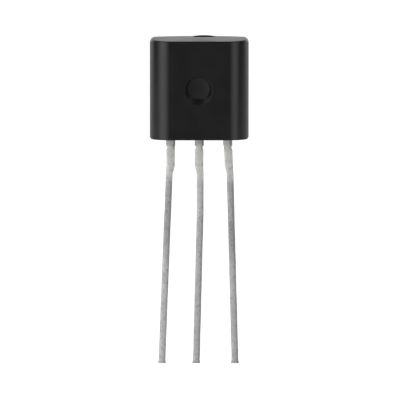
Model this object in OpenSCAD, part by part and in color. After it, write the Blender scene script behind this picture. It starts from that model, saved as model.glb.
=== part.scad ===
// Three-lead transistor in a small D-shaped moulded package, standing with its leads down.
// The flat face looks along -Y and the round back along +Y. The leads lie in the parting plane of
// the moulding, Y = 0, and the origin is where the centre lead leaves the underside. Millimetres.

/* [Body] */
// Width across the sides, which is also the diameter of the round back
body_w = 4.4; // [4.2:0.05:4.8]
// Height along the parting ridge
body_h = 4.51; // [4.4:0.01:5]
// Depth of the flat face in front of the parting plane
flat_depth = 1.2; // [1.1:0.01:1.35]
// Radius that rolls the flat face into the round sides
flat_edge_r = 0.85; // [0.5:0.05:0.95]
// Draft of the top, in degrees
top_draft = 4; // [3:0.5:7]
// Draft of the underside, in degrees
under_draft = 0.7; // [0.5:0.1:3]
// Radius of the two upper corners, seen from the front
top_corner_r = 0.23; // [0.1:0.01:0.5]
// Radius of the two lower corners, seen from the front
bottom_corner_r = 0.09; // [0.05:0.01:0.3]

/* [Mould marks] */
// Diameter of the floor of the ejector-pin mark
mark_floor_d = 0.96; // [0.7:0.02:1.1]
// Depth of the ejector-pin mark on its own axis
mark_depth = 0.17; // [0.1:0.01:0.25]
// Slope of the mark's wall, in degrees from its axis
mark_slope = 38; // [20:1:55]
// Tilt of the mark, in degrees, which makes one edge the deeper one
mark_tilt = 9; // [0:1:12]
// Turn of the deeper edge from straight below towards the left, in degrees
mark_turn = 15; // [-45:1:45]
// Height of the mark's centre above the underside
mark_z = 2.29; // [2:0.01:2.8]
// Place of the mark beside the middle
mark_x = -0.03; // [-0.2:0.01:0.2]
// Width of the broken gate stub on the top
gate_w = 1.08; // [0.8:0.02:1.3]
// Height of the stub above the top
gate_h = 0.07; // [0.02:0.005:0.1]
// Thickness of the stub from front to back
gate_t = 0.1; // [0.06:0.01:0.2]
// Place of the stub beside the middle
gate_x = 0.21; // [-0.3:0.01:0.3]
// Place of the stub behind the parting ridge
gate_y = 0.6; // [0:0.05:1.8]

/* [Leads] */
// Distance between neighbouring leads where they leave the body
lead_pitch = 1.27; // [1.2:0.01:1.34]
// Thickness of the lead sheet
lead_t = 0.38; // [0.3:0.01:0.5]
// Width of the collar where a lead leaves the body
collar_w = 0.4; // [0.36:0.01:0.5]
// Length of the collar below the underside
collar_l = 0.33; // [0.2:0.01:0.4]
// Length of the nick below the collar, where the leads were cut apart
nick_l = 0.2; // [0.15:0.01:0.35]
// Depth of the nick
nick_in = 0.04; // [0.02:0.005:0.08]
// Width of the shoulder under the body
shoulder_w = 0.36; // [0.32:0.01:0.5]
// Length from the underside to the end of the shoulder
shoulder_l = 1.25; // [0.8:0.05:1.6]
// Length of the slope from the shoulder to the narrow run
step_l = 0.35; // [0.2:0.05:0.6]
// Width of the narrow run
lead_w = 0.29; // [0.25:0.01:0.32]
// Length of the leads below the body
lead_l = 10.07; // [6:0.01:15]
// How far the left lead's narrow run stands outside its shoulder
left_set = 0.03; // [0:0.005:0.1]
// How far the centre lead's narrow run stands outside its shoulder
centre_set = 0.01; // [0:0.005:0.1]
// How far the right lead's narrow run stands outside its shoulder
right_set = 0.02; // [0:0.005:0.1]
// How far the right lead's shoulder leans to the right
right_drift = 0.05; // [0:0.005:0.1]
// Length of the centre lead's narrow run above its bend
centre_bend = 1.6; // [0.5:0.1:4]
// Sideways reach of the left lead's tip, with right as positive
left_lean = -0.33; // [-0.6:0.005:0.2]
// Sideways reach of the centre lead's tip
centre_lean = -0.175; // [-0.3:0.005:0.3]
// Sideways reach of the right lead's tip
right_lean = 0.22; // [-0.2:0.005:0.6]
// How far the sheared tip spreads on each side
burr_w = 0.025; // [0.01:0.005:0.06]
// Length of the spread tip
burr_l = 0.12; // [0.05:0.01:0.3]

/* [Lead frame inside the body] */
// Height of the chip's centre above the underside
chip_z = 2.75; // [2.4:0.05:3]
// Width of the chip pad on the centre lead
pad_w = 1.44; // [1.2:0.02:1.5]
// Height of the chip pad
pad_h = 1.3; // [1:0.05:1.6]
// Length of the slope from the centre lead's neck to the pad
pad_neck = 0.3; // [0.1:0.05:0.6]
// Gap between the pad and the flags of the outer leads
pad_gap = 0.28; // [0.2:0.02:0.4]
// Width of the flags
flag_w = 0.7; // [0.6:0.02:0.75]
// Height of the flags
flag_h = 0.8; // [0.5:0.05:1.2]

/* [Chip and bond wires] */
// Side of the square chip
chip_w = 0.46; // [0.3:0.02:0.7]
// Thickness of the chip
chip_t = 0.2; // [0.1:0.02:0.3]
// Diameter of the bond wires
wire_d = 0.04; // [0.03:0.005:0.06]
// Diameter of the flattened ends of the bond wires
bond_d = 0.11; // [0.08:0.01:0.15]
// Rise of the wire above the straight line between its ends
loop_h = 0.28; // [0.15:0.01:0.35]

/* [Hidden] */
$fn = 96;

// How far a cutting shape runs past what it cuts
past = 0.3;
// Angle at which a corner round crosses the faces beside it, in degrees
corner_skim = 5;
// How far the widest line of the gate stub lies below the top
gate_root = 0.01;
// How far the collars reach up into the body
collar_in = 0.1;
back_r = body_w / 2;
nick_r = bow_radius(nick_l, nick_in);
top_slope = tan(top_draft);
under_slope = tan(under_draft);
lead_face = -lead_t / 2;
chip_face = lead_face - chip_t;
flag_x = pad_w / 2 + pad_gap + flag_w / 2;

moulding_colour = "#262626";
tin_colour = "#b2b3ae";
silicon_colour = "#59616b";
gold_colour = "#d9b24a";

// Radius of an arc with a given chord and rise
function bow_radius(chord, rise) = (chord ^ 2 / 4 + rise ^ 2) / (2 * rise);

// Plan of the body: a round back, a flat front and two arcs that touch both
module body_plan() {
    arc_y = flat_edge_r - flat_depth;
    arc_x = sqrt((back_r - flat_edge_r) ^ 2 - arc_y ^ 2);
    far = [arc_x, arc_y] * 4;
    intersection() {
        circle(back_r);
        polygon([[0, 0], far, [far.x, body_w], [-far.x, body_w], [-far.x, far.y]]);
    }
    for (side = [0, 1])
        mirror([side, 0])
            intersection() {
                translate([arc_x, arc_y]) circle(flat_edge_r);
                polygon([[arc_x, arc_y], [arc_x, -body_w], [far.x, -body_w], far]);
            }
    polygon([[0, 0], [-arc_x, arc_y], [-arc_x, -flat_depth], [arc_x, -flat_depth], [arc_x, arc_y]]);
}

// Side view of the body: the top and the underside slope away from the parting ridge
module body_side() {
    front = flat_depth + past;
    back = back_r + past;
    polygon([[-front, front * under_slope], [0, 0], [back, back * under_slope],
        [back, body_h - back * top_slope], [0, body_h], [-front, body_h - front * top_slope]]);
}

// What is cut off an upper right corner at the origin, seen from the front
module corner_section(r) {
    centre = -r * cos(corner_skim);
    difference() {
        translate([centre, centre]) square(past - centre);
        translate([centre, centre]) circle(r);
    }
}

// Cuts along both slopes of the top, which fall from the parting ridge by the draft
module corner_cuts(r, draft) {
    for (side = [0, 1], turn = [-draft, draft])
        mirror([side, 0, 0])
            translate([back_r, 0, 0])
                rotate([90 + turn, 0, 0])
                    linear_extrude(2 * body_w, center = true) corner_section(r);
}

// Recess that the ejector pin leaves, with a sloped wall and a tilted floor
module ejector_mark() {
    floor_r = mark_floor_d / 2;
    depth = mark_depth + past;
    translate([mark_x, -flat_depth, mark_z])
        rotate([0, mark_turn, 0])
            rotate([mark_tilt - 90, 0, 0])
                translate([0, 0, -past])
                    cylinder(h = depth, r1 = floor_r + depth * tan(mark_slope), r2 = floor_r);
}

// Low rounded stub on the back half of the top, where the moulding was broken from its runner
module gate_stub() {
    rise = gate_h + gate_root;
    translate([gate_x, gate_y, body_h - gate_y * top_slope - gate_root])
        rotate([90, 0, 0])
            linear_extrude(gate_t, center = true)
                scale([1, 2 * rise / gate_w]) circle(d = gate_w);
}

module moulded_body() {
    color(moulding_colour)
        difference() {
            union() {
                intersection() {
                    translate([0, 0, -past]) linear_extrude(body_h + 2 * past) body_plan();
                    rotate([90, 0, 90]) linear_extrude(2 * body_w, center = true) body_side();
                }
                gate_stub();
            }
            translate([0, 0, body_h]) corner_cuts(top_corner_r, top_draft);
            mirror([0, 0, 1]) corner_cuts(bottom_corner_r, under_draft);
            ejector_mark();
            left_lead();
            centre_lead();
            right_lead();
            transistor_chip();
            left_bond_wire();
            right_bond_wire();
        }
}

// A shape drawn from the front, given the thickness of the lead sheet
module lead_sheet() {
    rotate([90, 0, 0]) linear_extrude(lead_t, center = true) children();
}

// One lead from the chip's height to its tip. The shoulder drifts sideways, and the narrow run keeps
// to one edge of it, -1 for the left edge and 1 for the right, and stands set outside it. The list
// of nicks names edges in the same way.
module lead_run(x, drift, edge, set, straight, lean, nicks) {
    left = x - shoulder_w / 2;
    right = x + shoulder_w / 2;
    run_x = x + drift + edge * ((shoulder_w - lead_w) / 2 + set);
    run_left = run_x - lead_w / 2;
    run_right = run_x + lead_w / 2;
    step_end = shoulder_l + step_l;
    bend_at = step_end + straight;
    burr_lean = lean * (lead_l - burr_l - bend_at) / (lead_l - bend_at);
    nick_x = x + drift * collar_l / shoulder_l;
    difference() {
        union() {
            polygon([[left, chip_z], [left, 0], [left + drift, -shoulder_l], [run_left, -step_end],
                [run_left, -bend_at], [run_left + burr_lean, burr_l - lead_l],
                [run_left + lean - burr_w, -lead_l], [run_right + lean + burr_w, -lead_l],
                [run_right + burr_lean, burr_l - lead_l], [run_right, -bend_at],
                [run_right, -step_end], [right + drift, -shoulder_l], [right, 0], [right, chip_z]]);
            translate([x - collar_w / 2, -collar_l]) square([collar_w, collar_l + collar_in]);
        }
        for (side = nicks)
            translate([nick_x + side * (shoulder_w / 2 - nick_in + nick_r), -collar_l - nick_l / 2])
                circle(nick_r);
    }
}

// Flag inside the body that takes the far end of a bond wire
module flag(side) {
    translate([side * flag_x, chip_z]) square([flag_w, flag_h], center = true);
}

module left_lead() {
    color(tin_colour)
        lead_sheet() {
            lead_run(-lead_pitch, 0, -1, left_set, 0, left_lean, [-1]);
            flag(-1);
        }
}

module right_lead() {
    color(tin_colour)
        lead_sheet() {
            lead_run(lead_pitch, right_drift, 1, right_set, 0, right_lean, [1]);
            flag(1);
        }
}

module centre_lead() {
    pad_top = chip_z + pad_h / 2;
    pad_low = chip_z - pad_h / 2;
    half = pad_w / 2;
    neck = shoulder_w / 2;
    color(tin_colour)
        lead_sheet() {
            lead_run(0, 0, 1, centre_set, centre_bend, centre_lean, [-1, 1]);
            polygon([[-half, pad_top], [-half, pad_low], [-neck, pad_low - pad_neck],
                [neck, pad_low - pad_neck], [half, pad_low], [half, pad_top]]);
        }
}

module transistor_chip() {
    color(silicon_colour)
        translate([-chip_w / 2, chip_face, chip_z - chip_w / 2]) cube([chip_w, chip_t, chip_w]);
}

// Flattened end of a bond wire, standing on a face that looks along -Y
module bond(x, face) {
    translate([x, face, chip_z]) rotate([90, 0, 0]) cylinder(h = wire_d, d = bond_d);
}

// Bond wire on the right: an arc from the chip to the flag, with a flattened bond at each end
module bond_wire() {
    from = [chip_w / 4, chip_face - wire_d / 2];
    to = [flag_x, lead_face - wire_d / 2];
    chord = norm(to - from);
    r = bow_radius(chord, loop_h);
    lift = [from.y - to.y, to.x - from.x] / chord;
    centre = (from + to) / 2 + lift * (r - loop_h);
    start = atan2(from.y - centre.y, from.x - centre.x);
    sweep = 2 * asin(chord / (2 * r));
    translate([centre.x, centre.y, chip_z])
        rotate([0, 0, start])
            rotate_extrude(angle = sweep) translate([r, 0]) circle(d = wire_d);
    bond(from.x, chip_face);
    bond(to.x, lead_face);
}

module right_bond_wire() {
    color(gold_colour) bond_wire();
}

module left_bond_wire() {
    color(gold_colour) mirror([1, 0, 0]) bond_wire();
}

moulded_body();
left_lead();
centre_lead();
right_lead();
transistor_chip();
left_bond_wire();
right_bond_wire();
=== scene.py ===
"""Dress the three-lead transistor: moulded body, tinned leads, chip and bond wires."""

import math
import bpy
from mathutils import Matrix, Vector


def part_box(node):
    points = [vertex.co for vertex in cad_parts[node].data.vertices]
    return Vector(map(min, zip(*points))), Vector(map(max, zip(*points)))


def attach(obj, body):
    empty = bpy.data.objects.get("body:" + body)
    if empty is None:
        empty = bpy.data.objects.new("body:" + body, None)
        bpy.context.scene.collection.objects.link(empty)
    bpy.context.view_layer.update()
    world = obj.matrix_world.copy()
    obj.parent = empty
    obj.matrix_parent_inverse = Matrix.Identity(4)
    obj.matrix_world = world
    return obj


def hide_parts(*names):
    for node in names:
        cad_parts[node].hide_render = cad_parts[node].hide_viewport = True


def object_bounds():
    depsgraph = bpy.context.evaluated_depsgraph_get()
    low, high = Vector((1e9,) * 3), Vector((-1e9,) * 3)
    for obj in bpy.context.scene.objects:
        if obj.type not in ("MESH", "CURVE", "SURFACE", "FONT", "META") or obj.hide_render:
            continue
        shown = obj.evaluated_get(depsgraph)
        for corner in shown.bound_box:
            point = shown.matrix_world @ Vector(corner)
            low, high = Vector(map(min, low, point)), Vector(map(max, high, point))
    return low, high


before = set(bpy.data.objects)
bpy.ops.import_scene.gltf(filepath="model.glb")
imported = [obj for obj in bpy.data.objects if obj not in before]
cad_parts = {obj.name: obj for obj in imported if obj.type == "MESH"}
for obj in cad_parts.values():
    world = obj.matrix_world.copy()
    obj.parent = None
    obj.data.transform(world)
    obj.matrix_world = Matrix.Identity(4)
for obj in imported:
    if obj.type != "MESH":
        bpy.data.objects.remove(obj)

from types import SimpleNamespace

import bmesh
import bpy
from bpy.props import FloatProperty, FloatVectorProperty, IntProperty, PointerProperty
from mathutils import Matrix, Vector, noise

bl_info = {
    "name": "Three-lead transistor",
    "version": (1, 0, 0),
    "blender": (4, 5, 0),
    "location": "View3D > Sidebar > Transistor",
    "description": "Models and finishes a small transistor with a D-shaped moulded body",
    "category": "Add Mesh",
}

# Pieces are modelled in millimetres, which suit the operators' tolerances, and scaled to metres
MM = 0.001
# Points closer than this, in millimetres, are one point
TOUCH = 0.0001
# Least cosine between a face's normal and a direction that the face counts as facing
FACING = 0.995
# Turns along a corner's round, in degrees, at which the ends of the body are cut
CORNER_CUTS = (0, 12, 24, 36, 48, 60)
# Fixes the noise vectors, which differ from run to run otherwise
NOISE_SEED = 1
# A lead takes its noise from this many times its own place along X
NOISE_STRIDE = 7

# Limits that most values of a noise texture lie between
NOISE_RANGE = (0.3, 0.7)
# Heights on a lead, in millimetres, between which a kind of wear or painted shade comes or goes
SHOULDER_ENDS = (-2.2, -1.4)
RUN_STARTS = (-2.2, -1.6)
GRIP_ENDS = (-6.0, -4.2)
RUB_STARTS = (-4.2, -3.2)
ROOT_SHADOW_STARTS = (-0.42, -0.2)
TIP_STARTS = (-10.02, -9.92)
COLLAR_ENDS = (-0.6, -0.4)
# Places beside the middle of the part, in millimetres, between which wear comes in
GRIP_SIDE = (0.5, 0.9)
RUB_SIDE = (-0.9, -0.5)
# Places across a lead, from -1 at the left to 1 at the right, between which the painted shade of a
# cut side comes in
LEFT_SHADE_SPAN = (-1.05, -0.65)
RIGHT_SHADE_SPAN = (0.1, 1.0)
# Directions, from -1 behind the camera to 1 behind the part, between which the room gets lighter
WALLS = (-0.7, 0.1)
BACKDROP = (0.2, 0.6)
# Numbers of the mix node's colour sockets, which share their names with those of its other types
MIX_FIRST, MIX_SECOND, MIX_RESULT = 6, 7, 2
WHITE = (1, 1, 1, 1)

CAD_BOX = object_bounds()
BODY_LOW, BODY_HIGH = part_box("moulded_body")
LEAD_LOW, LEAD_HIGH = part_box("centre_lead")


def length(name, description, millimetres):
    """Length property with its default in millimetres."""
    return FloatProperty(
        name=name, description=description, default=millimetres * MM, unit="LENGTH", precision=6
    )


def angle(name, description, degrees):
    """Angle property with its default in degrees."""
    return FloatProperty(
        name=name, description=description, default=math.radians(degrees), subtype="ANGLE"
    )


def factor(name, description, value):
    """Property between 0 and 1."""
    return FloatProperty(
        name=name, description=description, default=value, min=0.0, max=1.0, subtype="FACTOR"
    )


def colour(name, description, value):
    """Linear colour property."""
    return FloatVectorProperty(
        name=name, description=description, default=value, min=0.0, max=1.0, size=3, subtype="COLOR"
    )


def amount(name, description, value):
    """Plain number property from 0 upwards."""
    return FloatProperty(name=name, description=description, default=value, min=0.0)


def facets(name, description, count):
    """Property for a number of facets."""
    return IntProperty(name=name, description=description, default=count, min=1)


class BodySettings(bpy.types.PropertyGroup):
    """Sizes and finish of the moulded body."""

    width: length("Width", "Across the sides and the round back", (BODY_HIGH.x - BODY_LOW.x) / MM)
    flat_depth: length("Flat depth", "From the parting plane to the flat face", -BODY_LOW.y / MM)
    height: length("Height", "Along the parting ridge", 4.51)
    flat_edge_radius: length("Flat edge radius", "Arc from the flat face to the sides", 0.85)
    top_draft: angle("Top draft", "Slope of the top away from the parting ridge", 4.0)
    under_draft: angle("Underside draft", "Slope of the underside away from the ridge", 0.7)
    top_corner: length("Top corner", "Radius of the upper corners, seen from the front", 0.21)
    under_corner: length("Lower corner", "Radius of the lower corners, seen from the front", 0.09)
    top_round: length("Top round", "Radius on the upper rim", 0.07)
    under_round: length("Lower round", "Radius on the lower rim", 0.02)
    round_steps: facets("Round steps", "Facets in each small round", 6)
    edge_steps: facets("Edge steps", "Facets in each flat edge arc", 18)
    back_steps: facets("Back steps", "Facets in the round back", 54)
    mark_side: length("Mark side", "Centre of the ejector mark beside the middle", -0.03)
    mark_height: length("Mark height", "Centre of the ejector mark above the underside", 2.29)
    mark_floor: length("Mark floor", "Diameter of the mark's floor", 0.96)
    mark_depth: length("Mark depth", "Depth of the mark on its own axis", 0.17)
    mark_slope: angle("Mark slope", "Slope of the mark's wall from its axis", 38.0)
    mark_tilt: angle("Mark tilt", "Tilt that makes one edge deeper", 9.0)
    mark_turn: angle("Mark turn", "Turn of the deeper edge from below towards the left", 15.0)
    mark_rim: length("Mark rim", "Round on the rim of the mark", 0.008)
    mark_foot: length("Mark foot", "Round between the mark's wall and its floor", 0.004)
    mark_border: factor("Mark border", "Width of the ring round the mark, as a share of it", 0.12)
    mark_steps: facets("Mark steps", "Facets round the mark", 72)
    gate_width: length("Gate width", "Length of the broken gate stub", 1.08)
    gate_height: length("Gate height", "Rise of the stub above the top", 0.07)
    gate_root: length("Gate root", "Widest line of the stub below the top", 0.01)
    gate_thick: length("Gate thickness", "Stub from front to back", 0.1)
    gate_side: length("Gate offset", "Middle of the stub beside the middle of the body", 0.21)
    gate_back: length("Gate place", "Middle of the stub behind the parting ridge", 0.6)
    gate_steps: facets("Gate steps", "Facets along the stub", 16)
    smooth_angle: angle("Smooth angle", "Edges sharper than this stay sharp", 40.0)
    tint: colour("Epoxy", "Colour of the moulded epoxy", (0.0045, 0.0045, 0.0045))
    tint_worn: colour("Epoxy skin", "Paler colour of the filler in the skin", (0.006, 0.006, 0.006))
    rough_low: factor("Smooth skin", "Roughness of the smoother patches", 0.28)
    rough_high: factor("Rough skin", "Roughness of the rougher patches", 0.32)
    refraction: amount("Refraction", "Refractive index of the epoxy", 1.6)


class LeadSettings(bpy.types.PropertyGroup):
    """Sizes and finish of the three leads and their ends inside the body."""

    pitch: length("Pitch", "Between neighbouring leads at the body", 1.27)
    thickness: length("Thickness", "Of the lead sheet", (LEAD_HIGH.y - LEAD_LOW.y) / MM)
    reach: length("Length", "Below the body", -LEAD_LOW.z / MM)
    shoulder_width: length("Shoulder width", "Wide stretch under the body", 0.36)
    shoulder_reach: length("Shoulder length", "Wide stretch under the body", 1.25)
    step_reach: length("Step length", "Slope from the shoulder to the narrow run", 0.35)
    run_width: length("Run width", "Narrow stretch down to the tip", 0.29)
    left_set: length("Left set", "Left run stands outside its shoulder", 0.03)
    centre_set: length("Centre set", "Centre run stands outside its shoulder", 0.01)
    right_set: length("Right set", "Right run stands outside its shoulder", 0.02)
    right_drift: length("Right drift", "The right shoulder leans outwards", 0.05)
    centre_bend: length("Centre bend", "Straight stretch above the centre lead's bend", 1.6)
    left_lean: length("Left lean", "Sideways reach of the left tip", -0.33)
    centre_lean: length("Centre lean", "Sideways reach of the centre tip", -0.175)
    right_lean: length("Right lean", "Sideways reach of the right tip", 0.22)
    burr_width: length("Burr width", "Spread of the sheared tip on each side", 0.025)
    burr_reach: length("Burr length", "Length of the spread tip", 0.12)
    collar_width: length("Collar width", "Fuller stretch right under the body", 0.40)
    collar_reach: length("Collar length", "Fuller stretch right under the body", 0.33)
    collar_in: length("Collar root", "How far the collar reaches up into the body", 0.1)
    nick_reach: length("Nick length", "Nicked stretch below the collar", 0.2)
    nick_in: length("Nick depth", "Depth of the nick below the collar", 0.04)
    nick_steps: facets("Nick steps", "Facets along the nick", 8)
    chip_height: length("Chip height", "Middle of the chip above the underside", 2.75)
    pad_width: length("Pad width", "Chip pad on the centre lead", 1.44)
    pad_height: length("Pad height", "Chip pad on the centre lead", 1.3)
    pad_neck: length("Pad neck", "Slope from the neck to the pad", 0.3)
    pad_gap: length("Pad gap", "Between the pad and the flags", 0.28)
    flag_width: length("Flag width", "Wire flags on the outer leads", 0.7)
    flag_height: length("Flag height", "Wire flags on the outer leads", 0.8)
    edge_round: length("Edge round", "Rolled edges under the tin", 0.055)
    edge_steps: facets("Edge steps", "Facets in each rolled edge", 4)
    spacing: length("Spacing", "Between the sections that a lead is drawn through", 0.08)
    swell: length("Swell", "Slow unevenness of the tin", 0.008)
    swell_rate: amount("Swell rate", "Swells to the millimetre", 1.3)
    ripple: length("Ripple", "Quick unevenness of the tin", 0.005)
    ripple_rate: amount("Ripple rate", "Ripples to the millimetre", 6.0)
    smooth_angle: angle("Smooth angle", "Edges sharper than this stay sharp", 50.0)
    tint: colour("Tin", "Colour of the dull tin", (0.87, 0.87, 0.87))
    tint_dark: colour("Dull tin", "Darker blotches in the tin", (0.74, 0.74, 0.74))
    tint_warm: colour("Warm tin", "Tin of the shoulders", (0.9, 0.9, 0.87))
    # Colour of the real wear, and also of the painted shade at the sides of the leads and the
    # painted shadow at their roots
    tint_worn: colour("Worn tin", "Cut sides, and stretches that were gripped", (0.4, 0.4, 0.4))
    grip_wear: factor("Grip wear", "Worn tin on the upper runs of the outer leads", 0.42)
    rub_wear: factor("Rub wear", "Worn tin on the lower runs of the centre and right leads", 0.2)
    # Painted shadow of the body: darker tin at the roots of the leads, right under the body
    root_wear: factor("Root wear", "Worn tin at the body", 0.26)
    tip_wear: factor("Tip wear", "Worn tin at the sheared tips", 0.2)
    # Painted shade on the tin towards the left and right sides of each lead, less of it on the
    # shoulders
    left_wear: factor("Left wear", "Worn tin towards the left cut sides", 0.6)
    right_wear: factor("Right wear", "Worn tin towards the right cut sides", 0.75)
    shoulder_side_shade: factor("Shoulder wear", "Share of the cut sides' wear on the shoulders", 0.3)
    speck_wear: factor("Speck wear", "Worn tin in scattered specks", 0.36)
    rough_low: factor("Smooth tin", "Roughness of the smoother blotches", 0.5)
    rough_high: factor("Rough tin", "Roughness of the rougher blotches", 0.6)


class ChipSettings(bpy.types.PropertyGroup):
    """Finish of the chip and the bond wires inside the body."""

    silicon: colour("Silicon", "Bare silicon", (0.10, 0.12, 0.15))
    silicon_pale: colour("Silicon sheen", "Paler bands in the silicon", (0.16, 0.19, 0.24))
    silicon_low: factor("Smooth silicon", "Roughness of the smoother bands", 0.16)
    silicon_high: factor("Rough silicon", "Roughness of the rougher bands", 0.28)
    gold: colour("Gold", "Bond wire", (0.68, 0.45, 0.07))
    gold_dark: colour("Dark gold", "Drawing lines in the wire", (0.52, 0.33, 0.05))
    gold_low: factor("Smooth gold", "Roughness between the drawing lines", 0.2)
    gold_high: factor("Rough gold", "Roughness in the drawing lines", 0.32)


class StageSettings(bpy.types.PropertyGroup):
    """Camera, floor and lamps."""

    view_height: length("View height", "Height of the camera's target", -2.776)
    view_side: length("View side", "Sideways place of the camera's target", 0.033)
    view_width: length("View width", "Width of the picture at the target", 17.81)
    camera_distance: length("Camera distance", "From the target", 700.0)
    clip_start: length("Clip start", "Nearest place that the camera shows", 10.0)
    clip_end: length("Clip end", "Farthest place that the camera shows", 10000.0)
    elevation: angle("Elevation", "Camera above the horizon", 6.2)
    floor_drop: length("Floor drop", "Floor below the tips of the leads", 20.0)
    floor_side: length("Floor side", "Side of the square floor", 900.0)
    floor_front: length("Floor front", "Floor in front of the part", 40.0)
    floor_glow: factor("Floor glow", "Brightness that the floor adds where it is seen", 0.85)
    floor_mirrored: factor("Mirrored floor", "Brightness that it adds in reflections", 0.2)
    lamp_distance: length("Lamp distance", "From the part", 260.0)
    lamp_height: length("Lamp height", "Height of the soft boxes", 640.0)
    left_turn: angle("Left lamp", "Turn of the left soft box from the front", 43.5)
    left_width: length("Left width", "Width of the left soft box", 490.0)
    left_radiance: amount("Left light", "Brightness of the left soft box", 1.48)
    right_turn: angle("Right lamp", "Turn of the right soft box from the front", 38.5)
    right_width: length("Right width", "Width of the right soft box", 360.0)
    right_radiance: amount("Right light", "Brightness of the right soft box", 1.1)
    room_shade: factor("Room shade", "Brightness of the room behind the camera", 0.012)
    side_shade: factor("Side shade", "Brightness of the room beside the part", 0.14)
    backdrop: amount("Backdrop", "Brightness behind the part", 0.77)


def own_properties(settings):
    """The properties that a group declares itself."""
    inherited = {"rna_type", "name"}
    return [prop for prop in settings.bl_rna.properties if prop.identifier not in inherited]


def in_millimetres(settings):
    """Copy of a property group's values, with its lengths in millimetres."""
    values = {}
    for prop in own_properties(settings):
        value = getattr(settings, prop.identifier)
        values[prop.identifier] = value / MM if prop.unit == "LENGTH" else value
    return SimpleNamespace(**values)


def only(kind, items):
    """The vertices, edges or faces among an operator's results."""
    return [item for item in items if isinstance(item, kind)]


def with_borders(faces):
    """Faces with their own edges and vertices, in a fixed order."""
    parts = list(faces)
    for face in faces:
        parts.extend(face.edges)
        parts.extend(face.verts)
    return list(dict.fromkeys(parts))


def cut_across(bm, faces, point, normal):
    """Cut faces along a plane and keep both sides."""
    bmesh.ops.bisect_plane(
        bm, geom=with_borders(faces), dist=TOUCH, plane_co=point, plane_no=normal
    )


def facing(bm, direction):
    """Faces that face a direction, or nearly so."""
    bm.normal_update()
    return [face for face in bm.faces if face.normal.dot(direction) > FACING]


def round_edges(bm, edges, radius, steps):
    """Round edges to a radius."""
    bmesh.ops.bevel(
        bm, geom=edges, affect="EDGES", offset=radius, segments=steps, profile=0.5, material=-1
    )


def finish_piece(bm, name, node, material, smooth_angle):
    """Close, scale and shade a modelled piece, and let it stand for a node of the frame."""
    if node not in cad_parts:
        raise RuntimeError(f"the frame has no node {node}")
    bmesh.ops.remove_doubles(bm, verts=bm.verts, dist=TOUCH)
    bmesh.ops.recalc_face_normals(bm, faces=bm.faces)
    bmesh.ops.scale(bm, vec=(MM, MM, MM), verts=bm.verts)
    mesh = bpy.data.meshes.new(name)
    bm.to_mesh(mesh)
    bm.free()
    mesh.shade_smooth()
    mesh.set_sharp_from_angle(angle=smooth_angle)
    mesh.materials.append(material)
    piece = bpy.data.objects.new(name, mesh)
    bpy.context.scene.collection.objects.link(piece)
    flat_faces = piece.modifiers.new("Flat faces stay flat", "WEIGHTED_NORMAL")
    flat_faces.keep_sharp = True
    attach(piece, "root")
    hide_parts(node)


# Moulded body

def d_outline(bm, size):
    """Closed D-shaped outline of the body: a flat front, two edge arcs and the round back."""
    arc_y = size.flat_edge_radius - size.flat_depth
    arc_x = math.sqrt((size.width / 2 - size.flat_edge_radius) ** 2 - arc_y ** 2)
    lean = math.atan2(arc_y, arc_x)
    edge_sweep = math.pi / 2 + lean
    back_sweep = math.pi - 2 * lean
    first = bm.verts.new((arc_x, -size.flat_depth, 0))
    last = first
    for centre, sweep, steps in (
        ((arc_x, arc_y, 0), edge_sweep, size.edge_steps),
        ((0, 0, 0), back_sweep, size.back_steps),
        ((-arc_x, arc_y, 0), edge_sweep, size.edge_steps),
    ):
        turned = bmesh.ops.spin(
            bm, geom=[last], cent=centre, axis=(0, 0, 1), angle=sweep, steps=steps
        )
        last = only(bmesh.types.BMVert, turned["geom_last"])[0]
    bm.edges.new((last, first))


def straight_body(bm, size):
    """Prism on the outline, with small rounds on its upper and lower rims."""
    face = bmesh.ops.contextual_create(bm, geom=bm.edges[:])["faces"][0]
    raised = bmesh.ops.extrude_face_region(bm, geom=with_borders([face]))
    bmesh.ops.translate(bm, verts=only(bmesh.types.BMVert, raised["geom"]), vec=(0, 0, size.height))
    bmesh.ops.recalc_face_normals(bm, faces=bm.faces)
    for height, radius in ((size.height, size.top_round), (0, size.under_round)):
        rim = [
            edge for edge in bm.edges
            if all(abs(vert.co.z - height) < TOUCH for vert in edge.verts)
        ]
        round_edges(bm, rim, radius, size.round_steps)


def end_drop(size, point, draft, corner):
    """How far the draft and the rounded corners draw in an end of the body at a point."""
    reach = min(max(abs(point.x) - (size.width / 2 - corner), 0), corner)
    return abs(point.y) * math.tan(draft) + corner - math.sqrt(corner ** 2 - reach ** 2)


def shape_ends(bm, size):
    """Cut the flat ends along the ridge and the corners, and draw them in."""
    for up, corner in ((1, size.top_corner), (-1, size.under_corner)):
        lines = [((0, 0, 0), (0, 1, 0))]
        for turn in CORNER_CUTS:
            x = size.width / 2 - corner + corner * math.sin(math.radians(turn))
            lines += [((x, 0, 0), (1, 0, 0)), ((-x, 0, 0), (1, 0, 0))]
        for point, normal in lines:
            cut_across(bm, facing(bm, Vector((0, 0, up))), point, normal)
    for vert in bm.verts:
        if vert.co.z > size.height / 2:
            vert.co.z -= end_drop(size, vert.co, size.top_draft, size.top_corner)
        else:
            vert.co.z += end_drop(size, vert.co, size.under_draft, size.under_corner)


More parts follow.
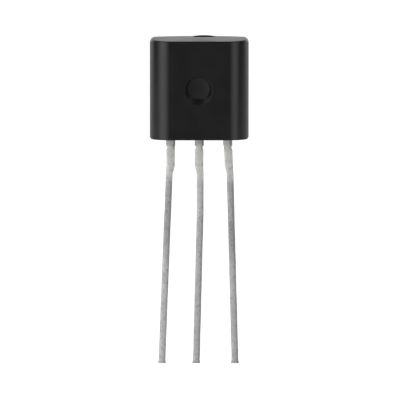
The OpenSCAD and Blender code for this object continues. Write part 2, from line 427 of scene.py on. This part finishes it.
def let_in_mark(bm, size):
    """Let the tilted, sloping recess of the ejector pin into the flat face."""
    centre = Vector((size.mark_side, -size.flat_depth, size.mark_height))
    flat = max(facing(bm, Vector((0, -1, 0))), key=lambda face: face.calc_area())
    bmesh.ops.delete(bm, geom=[flat], context="FACES_ONLY")
    flat_border = [edge for edge in bm.edges if edge.is_boundary]

    past = 2 * size.mark_depth
    spread = math.tan(size.mark_slope)
    floor_radius = size.mark_floor / 2
    turn = Matrix.Rotation(size.mark_turn, 4, "Y")
    tilt = Matrix.Rotation(size.mark_tilt - math.pi / 2, 4, "X")
    along = Matrix.Translation((0, 0, (size.mark_depth - past) / 2))
    cone = bmesh.ops.create_cone(
        bm,
        cap_ends=True,
        segments=size.mark_steps,
        radius1=floor_radius + (size.mark_depth + past) * spread,
        radius2=floor_radius,
        depth=size.mark_depth + past,
        matrix=Matrix.Translation(centre) @ turn @ tilt @ along,
    )
    cone_faces = list(dict.fromkeys(face for vert in cone["verts"] for face in vert.link_faces))
    foot = max(cone_faces, key=lambda face: face.calc_center_median().y)
    cut = bmesh.ops.bisect_plane(
        bm,
        geom=with_borders(cone_faces),
        dist=TOUCH,
        plane_co=centre,
        plane_no=(0, -1, 0),
        clear_outer=True,
    )
    mouth = only(bmesh.types.BMEdge, cut["geom_cut"])
    ring = bmesh.ops.extrude_edge_only(bm, edges=mouth)["geom"]
    ring_border = only(bmesh.types.BMEdge, ring)
    grown = 1 + size.mark_border
    bmesh.ops.scale(
        bm,
        vec=(grown, 1, grown),
        space=Matrix.Translation(-centre),
        verts=only(bmesh.types.BMVert, ring),
    )
    bmesh.ops.triangle_fill(bm, use_beauty=True, edges=flat_border + ring_border)
    bmesh.ops.recalc_face_normals(bm, faces=bm.faces)
    for edges, radius in ((foot.edges[:], size.mark_foot), (mouth, size.mark_rim)):
        round_edges(bm, edges, radius, size.round_steps)


def raise_gate(bm, size):
    """Raise the rounded stub of the broken gate on the back half of the top."""
    upward = Vector((0, 0, 1))
    half = size.gate_width / 2
    deep = size.gate_thick / 2
    step = size.gate_width / size.gate_steps
    foot = size.height - size.gate_back * math.tan(size.top_draft) - size.gate_root
    lines = [((0, size.gate_back + side, 0), (0, 1, 0)) for side in (-deep, deep)]
    for index in range(size.gate_steps + 1):
        lines.append(((size.gate_side - half + index * step, 0, 0), (1, 0, 0)))

    def under_stub(face):
        middle = face.calc_center_median()
        return abs(middle.x - size.gate_side) < half and abs(middle.y - size.gate_back) < deep

    for point, normal in lines:
        cut_across(bm, facing(bm, upward), point, normal)
    patch = [face for face in facing(bm, upward) if under_stub(face)]
    raised = bmesh.ops.extrude_face_region(bm, geom=with_borders(patch))
    for vert in only(bmesh.types.BMVert, raised["geom"]):
        share = min(abs(vert.co.x - size.gate_side) / half, 1)
        rise = (size.gate_height + size.gate_root) * math.sqrt(1 - share ** 2)
        vert.co.z = max(vert.co.z, foot + rise)


# Leads

def station(height, middle, width):
    """Height and two edges of a lead's section."""
    return SimpleNamespace(height=height, left=middle - width / 2, right=middle + width / 2)


def inner_end(size, x):
    """Stations inside the body: the chip pad of the centre lead or the flag of an outer one."""
    neck = size.shoulder_width
    if x == 0:
        top = size.chip_height + size.pad_height / 2
        low = size.chip_height - size.pad_height / 2
        return [
            station(top, 0, size.pad_width),
            station(low, 0, size.pad_width),
            station(low - size.pad_neck, 0, neck),
        ]
    flag_x = math.copysign(size.pad_width / 2 + size.pad_gap + size.flag_width / 2, x)
    top = size.chip_height + size.flag_height / 2
    low = size.chip_height - size.flag_height / 2
    return [
        station(top, flag_x, size.flag_width),
        station(low, flag_x, size.flag_width),
        station(low - TOUCH, x, neck),
    ]


def nicked(size, x, drift, nicks):
    """Stations of the nick below the collar, a shallow round on each edge that is listed."""
    radius = (size.nick_reach ** 2 / 4 + size.nick_in ** 2) / (2 * size.nick_in)
    stations = []
    for step in range(size.nick_steps + 1):
        down = size.nick_reach * step / size.nick_steps
        off_middle = down - size.nick_reach / 2
        depth = size.nick_in - radius + math.sqrt(radius ** 2 - off_middle ** 2)
        low = size.collar_reach + down
        section = station(-low, x + drift * low / size.shoulder_reach, size.shoulder_width)
        if -1 in nicks:
            section.left += depth
        if 1 in nicks:
            section.right -= depth
        stations.append(section)
    return stations


def outer_run(size, x, drift, edge, set_out, straight, lean, nicks):
    """Stations below the body: collar, nick, shoulder, step, narrow run and sheared tip.

    The shoulder drifts sideways. edge is the side of it that the run keeps to, -1 for left and
    1 for right, and nicks lists the nicked sides in the same way.
    """
    run_x = x + drift + edge * ((size.shoulder_width - size.run_width) / 2 + set_out)
    step_low = size.shoulder_reach + size.step_reach
    bend = step_low + straight
    burr_x = run_x + lean * (size.reach - size.burr_reach - bend) / (size.reach - bend)
    stations = [
        station(size.collar_in, x, size.collar_width),
        station(TOUCH - size.collar_reach, x, size.collar_width),
        *nicked(size, x, drift, nicks),
        station(-size.shoulder_reach, x + drift, size.shoulder_width),
        station(-step_low, run_x, size.run_width),
    ]
    if straight:
        stations.append(station(-bend, run_x, size.run_width))
    stations += [
        station(size.burr_reach - size.reach, burr_x, size.run_width),
        station(-size.reach, run_x + lean, size.run_width + 2 * size.burr_width),
    ]
    return stations


def between(stations, spacing):
    """The same stations with even ones added in the long stretches."""
    filled = [stations[0]]
    for start, end in zip(stations, stations[1:]):
        parts = max(1, round((start.height - end.height) / spacing))
        for part in range(1, parts + 1):
            share = part / parts
            filled.append(
                SimpleNamespace(
                    height=start.height + (end.height - start.height) * share,
                    left=start.left + (end.left - start.left) * share,
                    right=start.right + (end.right - start.right) * share,
                )
            )
    return filled


def mark_across(verts, layer, section):
    """Keep each vertex's place across the lead, from -1 at its left edge to 1 at its right."""
    middle = (section.left + section.right) / 2
    half = (section.right - section.left) / 2
    for vert in verts:
        vert[layer] = (vert.co.x - middle) / half


def draw_lead(bm, size, stations):
    """Draw a rounded section through the stations, each edge following its own line."""
    across = bm.verts.layers.float.new("across")
    now = stations[0]
    bmesh.ops.create_grid(bm, x_segments=1, y_segments=1, size=0.5)
    bmesh.ops.scale(bm, vec=(now.right - now.left, size.thickness, 1), verts=bm.verts)
    bmesh.ops.translate(bm, vec=((now.left + now.right) / 2, 0, now.height), verts=bm.verts)
    bmesh.ops.bevel(
        bm,
        geom=bm.verts[:],
        affect="VERTICES",
        offset=size.edge_round,
        segments=size.edge_steps,
        profile=0.5,
        material=-1,
    )
    face = bm.faces[:][0]
    mark_across(face.verts, across, now)
    for then in stations[1:]:
        drawn = bmesh.ops.extrude_face_region(bm, geom=with_borders([face]))["geom"]
        face = only(bmesh.types.BMFace, drawn)[0]
        middle = (now.left + now.right) / 2
        down = then.height - now.height
        left_half = [vert for vert in face.verts if vert.co.x < middle]
        right_half = [vert for vert in face.verts if vert.co.x >= middle]
        bmesh.ops.translate(bm, verts=left_half, vec=(then.left - now.left, 0, down))
        bmesh.ops.translate(bm, verts=right_half, vec=(then.right - now.right, 0, down))
        mark_across(face.verts, across, then)
        now = then


def roughen_lead(bm, size, noise_x):
    """Make the tin of the outer run slightly uneven, and keep the root of the collar true."""
    offset = Vector((noise_x, 0, 0))
    root = -size.collar_reach / 2
    for vert in bm.verts:
        if vert.co.z > root:
            continue
        slow = noise.noise_vector(vert.co * size.swell_rate + offset)
        quick = noise.noise_vector(vert.co * size.ripple_rate + offset)
        shift = slow * size.swell + quick * size.ripple
        vert.co += Vector((shift.x, shift.y, 0))


# Finishes

def finish_nodes(name):
    """New material with its node tree, its principled shader and its coordinates in millimetres."""
    material = bpy.data.materials.new(name)
    material.use_nodes = True
    tree = material.node_tree
    shader = tree.nodes["Principled BSDF"]
    place = tree.nodes.new("ShaderNodeTexCoord")
    scale = tree.nodes.new("ShaderNodeMapping")
    scale.inputs["Scale"].default_value = (1 / MM, 1 / MM, 1 / MM)
    tree.links.new(place.outputs["Object"], scale.inputs["Vector"])
    return material, tree, shader, scale.outputs["Vector"]


def grain(tree, place, per_mm, detail=2.0, stretch=(1, 1, 1)):
    """Noise texture with a given number of blotches to the millimetre."""
    turned = tree.nodes.new("ShaderNodeMapping")
    turned.inputs["Scale"].default_value = stretch
    tree.links.new(place, turned.inputs["Vector"])
    cloud = tree.nodes.new("ShaderNodeTexNoise")
    cloud.inputs["Scale"].default_value = per_mm
    cloud.inputs["Detail"].default_value = detail
    tree.links.new(turned.outputs["Vector"], cloud.inputs["Vector"])
    return cloud.outputs["Fac"]


def ramp(tree, value, low, high, to_low=0, to_high=1):
    """Value remapped smoothly between two limits."""
    remap = tree.nodes.new("ShaderNodeMapRange")
    remap.interpolation_type = "SMOOTHSTEP"
    remap.inputs["From Min"].default_value = low
    remap.inputs["From Max"].default_value = high
    remap.inputs["To Min"].default_value = to_low
    remap.inputs["To Max"].default_value = to_high
    tree.links.new(value, remap.inputs["Value"])
    return remap.outputs["Result"]


def blend(tree, share, first, second):
    """Two colours, or results of other nodes, mixed by a share."""
    mix = tree.nodes.new("ShaderNodeMix")
    mix.data_type = "RGBA"
    tree.links.new(share, mix.inputs["Factor"])
    for socket, tint in ((mix.inputs[MIX_FIRST], first), (mix.inputs[MIX_SECOND], second)):
        if isinstance(tint, bpy.types.NodeSocket):
            tree.links.new(tint, socket)
        else:
            socket.default_value = (*tint, 1.0)
    return mix.outputs[MIX_RESULT]


def joined(tree, operation, *values):
    """Result of a math operation on one or two values."""
    step = tree.nodes.new("ShaderNodeMath")
    step.operation = operation
    for socket, value in zip(step.inputs, values):
        tree.links.new(value, socket)
    return step.outputs["Value"]


def coordinate(tree, vector, axis):
    """One coordinate of a vector."""
    split = tree.nodes.new("ShaderNodeSeparateXYZ")
    tree.links.new(vector, split.inputs["Vector"])
    return split.outputs[axis]


def bump(tree, height, strength, depth_mm, under=None):
    """Bump from a height, over another bump if there is one."""
    relief = tree.nodes.new("ShaderNodeBump")
    relief.inputs["Strength"].default_value = strength
    relief.inputs["Distance"].default_value = depth_mm * MM
    tree.links.new(height, relief.inputs["Height"])
    if under is not None:
        tree.links.new(under, relief.inputs["Normal"])
    return relief.outputs["Normal"]


def epoxy_finish(settings):
    """Satin black epoxy with a fine mineral grain."""
    material, tree, shader, place = finish_nodes("black_epoxy")
    filler = grain(tree, place, per_mm=14, detail=3)
    cloud = grain(tree, place, per_mm=1.1)
    shade = blend(tree, ramp(tree, filler, 0.35, 0.7), settings.tint, settings.tint_worn)
    tree.links.new(shade, shader.inputs["Base Color"])
    rough = ramp(tree, cloud, *NOISE_RANGE, settings.rough_low, settings.rough_high)
    tree.links.new(rough, shader.inputs["Roughness"])
    skin = bump(tree, grain(tree, place, per_mm=26), strength=0.25, depth_mm=0.002)
    tree.links.new(skin, shader.inputs["Normal"])
    shader.inputs["IOR"].default_value = settings.refraction
    return material


def tin_finish(settings):
    """Dull tin plate: warm on the shoulders, blotched below, darker where it was gripped, with
    painted shade towards the cut sides and a painted shadow of the body at the roots.
    """
    material, tree, shader, place = finish_nodes("dull_tin")
    blotch = grain(tree, place, per_mm=4.5, detail=3, stretch=(1, 1, 0.55))
    speck = grain(tree, place, per_mm=9, stretch=(1, 1, 0.8))
    lines = grain(tree, place, per_mm=16, stretch=(1, 1, 0.06))
    side, height = coordinate(tree, place, "X"), coordinate(tree, place, "Z")
    shoulder = ramp(tree, height, *SHOULDER_ENDS)
    plate = blend(tree, ramp(tree, blotch, 0.35, 0.68), settings.tint_dark, settings.tint)
    warm = joined(tree, "MULTIPLY", shoulder, ramp(tree, blotch, 0.25, 0.45))
    shade = blend(tree, warm, plate, settings.tint_warm)

    off_middle = joined(tree, "ABSOLUTE", side)
    outer = ramp(tree, off_middle, *GRIP_SIDE, 0, settings.grip_wear)
    below = ramp(tree, height, *RUN_STARTS, 1, 0)
    upper = joined(tree, "MULTIPLY", ramp(tree, height, *GRIP_ENDS), below)
    gripped = joined(tree, "MULTIPLY", outer, upper)
    beside = ramp(tree, side, *RUB_SIDE, 0, settings.rub_wear)
    rubbed = joined(tree, "MULTIPLY", beside, ramp(tree, height, *RUB_STARTS, 1, 0))
    # Painted shadow of the body on the tin at the roots of the leads
    painted_root_shadow = ramp(tree, height, *ROOT_SHADOW_STARTS, 0, settings.root_wear)
    at_tip = ramp(tree, height, *TIP_STARTS, settings.tip_wear, 0)

    spread = tree.nodes.new("ShaderNodeAttribute")
    spread.attribute_name = "across"
    across = spread.outputs["Fac"]
    # Painted shade towards the left and right sides of each lead, less of it on the shoulders
    left_shade = ramp(tree, across, *LEFT_SHADE_SPAN, settings.left_wear, 0)
    right_shade = ramp(tree, across, *RIGHT_SHADE_SPAN, 0, settings.right_wear)
    side_shade_on_collar = ramp(tree, height, *COLLAR_ENDS, settings.shoulder_side_shade, 1)
    off_shoulder = joined(tree, "MAXIMUM", below, side_shade_on_collar)
    cut = joined(tree, "MULTIPLY", joined(tree, "ADD", right_shade, left_shade), off_shoulder)

    # Real wear in specks, grips, rubs and tips, with the painted side shade and the painted root
    # shadow added to it
    wear_and_shade = ramp(tree, speck, 0.5, 0.68, 0, settings.speck_wear)
    for share in (gripped, rubbed, painted_root_shadow, at_tip, cut):
        wear_and_shade = joined(tree, "ADD", wear_and_shade, share)
    tree.links.new(blend(tree, wear_and_shade, shade, settings.tint_worn), shader.inputs["Base Color"])
    rough = ramp(tree, blotch, *NOISE_RANGE, settings.rough_high, settings.rough_low)
    tree.links.new(rough, shader.inputs["Roughness"])
    drawn = bump(tree, lines, strength=0.3, depth_mm=0.004)
    dimpled = bump(tree, blotch, strength=0.2, depth_mm=0.012, under=drawn)
    tree.links.new(dimpled, shader.inputs["Normal"])
    shader.inputs["Metallic"].default_value = 1.0
    return material


def silicon_finish(settings):
    """Polished silicon with faint paler bands."""
    material, tree, shader, place = finish_nodes("polished_silicon")
    bands = grain(tree, place, per_mm=9, detail=1, stretch=(1, 1, 0.2))
    shade = blend(tree, ramp(tree, bands, 0.4, 0.65), settings.silicon, settings.silicon_pale)
    tree.links.new(shade, shader.inputs["Base Color"])
    rough = ramp(tree, bands, *NOISE_RANGE, settings.silicon_low, settings.silicon_high)
    tree.links.new(rough, shader.inputs["Roughness"])
    shader.inputs["Metallic"].default_value = 0.6
    return material


def gold_finish(settings):
    """Bright gold wire with fine drawing lines."""
    material, tree, shader, place = finish_nodes("bright_gold")
    lines = grain(tree, place, per_mm=40, detail=1, stretch=(0.2, 1, 1))
    shade = blend(tree, ramp(tree, lines, 0.35, 0.6), settings.gold_dark, settings.gold)
    tree.links.new(shade, shader.inputs["Base Color"])
    rough = ramp(tree, lines, *NOISE_RANGE, settings.gold_high, settings.gold_low)
    tree.links.new(rough, shader.inputs["Roughness"])
    shader.inputs["Metallic"].default_value = 1.0
    return material


# Stage

def lamp(name, turn, distance, width, height, radiance):
    """Soft box at a turn from the front, which faces the part and fades towards its sides."""
    box = bpy.data.lights.new(name, "AREA")
    box.shape = "RECTANGLE"
    box.size = width
    box.size_y = height
    box.energy = radiance * math.pi * width * height
    box.use_nodes = True
    tree = box.node_tree
    across = coordinate(tree, tree.nodes.new("ShaderNodeNewGeometry").outputs["Parametric"], "X")
    rise, fall = ramp(tree, across, 0, 0.5), ramp(tree, across, 0.5, 1, 1, 0)
    fade = joined(tree, "MULTIPLY", rise, fall)
    tree.links.new(fade, tree.nodes["Emission"].inputs["Strength"])
    holder = bpy.data.objects.new(name, box)
    holder.rotation_euler = (math.pi / 2, 0, turn)
    holder.location = (distance * math.sin(turn), -distance * math.cos(turn), 0)
    holder.visible_camera = False
    bpy.context.scene.collection.objects.link(holder)


def white_when_seen(tree):
    """1 for rays from the camera and through glass, 0 for the rest."""
    path = tree.nodes.new("ShaderNodeLightPath")
    seen, through = path.outputs["Is Camera Ray"], path.outputs["Is Transmission Ray"]
    return joined(tree, "MAXIMUM", seen, through)


def light_room(scene, stage):
    """White backdrop behind the part, grey walls beside it and a dim room behind the camera."""
    world = bpy.data.worlds.new("studio")
    scene.world = world
    world.use_nodes = True
    tree = world.node_tree
    direction = tree.nodes.new("ShaderNodeTexCoord")
    depth = coordinate(tree, direction.outputs["Generated"], "Y")
    walls = ramp(tree, depth, *WALLS, stage.room_shade, stage.side_shade)
    backdrop = ramp(tree, depth, *BACKDROP, 0, stage.backdrop)
    unseen = joined(tree, "MAXIMUM", walls, backdrop)
    room = joined(tree, "MAXIMUM", unseen, white_when_seen(tree))
    tree.links.new(room, tree.nodes["Background"].inputs["Strength"])
    tree.nodes["Background"].inputs["Color"].default_value = WHITE


def floor_finish(stage):
    """Pale floor that looks white and still takes a shadow."""
    material = bpy.data.materials.new("pale_floor")
    material.use_nodes = True
    tree = material.node_tree
    shader = tree.nodes["Principled BSDF"]
    shader.inputs["Base Color"].default_value = (0.8, 0.8, 0.8, 1)
    shader.inputs["Roughness"].default_value = 0.9
    shader.inputs["Specular IOR Level"].default_value = 0.0
    shader.inputs["Emission Color"].default_value = WHITE
    seen = ramp(tree, white_when_seen(tree), 0, 1, 0, stage.floor_glow)
    glossy = tree.nodes.new("ShaderNodeLightPath").outputs["Is Glossy Ray"]
    mirrored = ramp(tree, glossy, 0, 1, 0, stage.floor_mirrored)
    glow = joined(tree, "MAXIMUM", seen, mirrored)
    tree.links.new(glow, shader.inputs["Emission Strength"])
    return material


class TRANSISTOR_OT_stage(bpy.types.Operator):
    """Set up the camera, the pale floor, the two soft boxes and the white backdrop"""

    bl_idname = "transistor.stage"
    bl_label = "Stage"

    def execute(self, context):
        scene = context.scene
        stage = scene.transistor_stage
        scene.view_settings.view_transform = "Standard"

        camera = bpy.data.objects.new("camera", bpy.data.cameras.new("camera"))
        camera.data.lens = camera.data.sensor_width * stage.camera_distance / stage.view_width
        camera.data.clip_start = stage.clip_start
        camera.data.clip_end = stage.clip_end
        target = Vector((stage.view_side, 0, stage.view_height))
        away = Vector((0, -math.cos(stage.elevation), math.sin(stage.elevation)))
        camera.location = target + away * stage.camera_distance
        camera.rotation_euler = (math.pi / 2 - stage.elevation, 0, 0)
        scene.collection.objects.link(camera)
        scene.camera = camera

        bm = bmesh.new()
        bmesh.ops.create_grid(bm, x_segments=1, y_segments=1, size=stage.floor_side / 2)
        middle = stage.floor_side / 2 - stage.floor_front
        bmesh.ops.translate(
            bm, verts=bm.verts, vec=(0, middle, CAD_BOX[0].z - stage.floor_drop)
        )
        mesh = bpy.data.meshes.new("floor")
        bm.to_mesh(mesh)
        bm.free()
        mesh.materials.append(floor_finish(stage))
        floor = bpy.data.objects.new("floor", mesh)
        scene.collection.objects.link(floor)

        for side, turn, width, radiance in (
            ("left", -stage.left_turn, stage.left_width, stage.left_radiance),
            ("right", stage.right_turn, stage.right_width, stage.right_radiance),
        ):
            lamp(
                f"{side}_soft_box", turn, stage.lamp_distance, width, stage.lamp_height, radiance
            )
        light_room(scene, stage)
        return {"FINISHED"}


class TRANSISTOR_OT_moulded_body(bpy.types.Operator):
    """Model the D-shaped epoxy body with its ejector mark and broken gate"""

    bl_idname = "transistor.moulded_body"
    bl_label = "Moulded body"

    def execute(self, context):
        settings = context.scene.transistor_body
        size = in_millimetres(settings)
        bm = bmesh.new()
        d_outline(bm, size)
        straight_body(bm, size)
        shape_ends(bm, size)
        let_in_mark(bm, size)
        raise_gate(bm, size)
        finish = epoxy_finish(settings)
        finish_piece(bm, "epoxy_body", "moulded_body", finish, size.smooth_angle)
        return {"FINISHED"}


class TRANSISTOR_OT_leads(bpy.types.Operator):
    """Draw the three tinned leads with their pad and flags"""

    bl_idname = "transistor.leads"
    bl_label = "Leads"

    def execute(self, context):
        settings = context.scene.transistor_leads
        size = in_millimetres(settings)
        finish = tin_finish(settings)
        noise.seed_set(NOISE_SEED)
        for name, x, *form in (
            ("left", -size.pitch, 0, -1, size.left_set, 0, size.left_lean, (-1,)),
            ("centre", 0, 0, 1, size.centre_set, size.centre_bend, size.centre_lean, (-1, 1)),
            ("right", size.pitch, size.right_drift, 1, size.right_set, 0, size.right_lean, (1,)),
        ):
            stations = inner_end(size, x) + outer_run(size, x, *form)
            bm = bmesh.new()
            draw_lead(bm, size, between(stations, size.spacing))
            roughen_lead(bm, size, x * NOISE_STRIDE)
            finish_piece(
                bm, f"{name}_tinned_lead", f"{name}_lead", finish, size.smooth_angle
            )
        return {"FINISHED"}


class TRANSISTOR_OT_chip_and_wires(bpy.types.Operator):
    """Finish the chip and the bond wires, which keep their own solids"""

    bl_idname = "transistor.chip_and_wires"
    bl_label = "Chip and wires"

    def execute(self, context):
        settings = context.scene.transistor_chip
        silicon = silicon_finish(settings)
        gold = gold_finish(settings)
        for node, finish in (
            ("transistor_chip", silicon),
            ("left_bond_wire", gold),
            ("right_bond_wire", gold),
        ):
            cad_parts[node].material_slots[0].material = finish
        return {"FINISHED"}


class TRANSISTOR_PT_sidebar(bpy.types.Panel):
    """List the steps of the model and the sizes behind them"""

    bl_label = "Transistor"
    bl_idname = "TRANSISTOR_PT_sidebar"
    bl_space_type = "VIEW_3D"
    bl_region_type = "UI"
    bl_category = "Transistor"

    def draw(self, context):
        layout = self.layout
        for operator, group in STEPS:
            layout.operator(operator.bl_idname)
            settings = getattr(context.scene, group)
            column = layout.column(align=True)
            for prop in own_properties(settings):
                column.prop(settings, prop.identifier)


SETTINGS = {
    "transistor_stage": StageSettings,
    "transistor_body": BodySettings,
    "transistor_leads": LeadSettings,
    "transistor_chip": ChipSettings,
}
STEPS = (
    (TRANSISTOR_OT_stage, "transistor_stage"),
    (TRANSISTOR_OT_moulded_body, "transistor_body"),
    (TRANSISTOR_OT_leads, "transistor_leads"),
    (TRANSISTOR_OT_chip_and_wires, "transistor_chip"),
)
CLASSES = (*SETTINGS.values(), *(operator for operator, _ in STEPS), TRANSISTOR_PT_sidebar)


def register():
    for item in CLASSES:
        bpy.utils.register_class(item)
    for name, group in SETTINGS.items():
        setattr(bpy.types.Scene, name, PointerProperty(type=group))


def unregister():
    for name in SETTINGS:
        delattr(bpy.types.Scene, name)
    for item in reversed(CLASSES):
        bpy.utils.unregister_class(item)


def main():
    register()
    bpy.ops.transistor.stage()
    bpy.ops.transistor.moulded_body()
    bpy.ops.transistor.leads()
    bpy.ops.transistor.chip_and_wires()


if __name__ == "__main__":
    main()
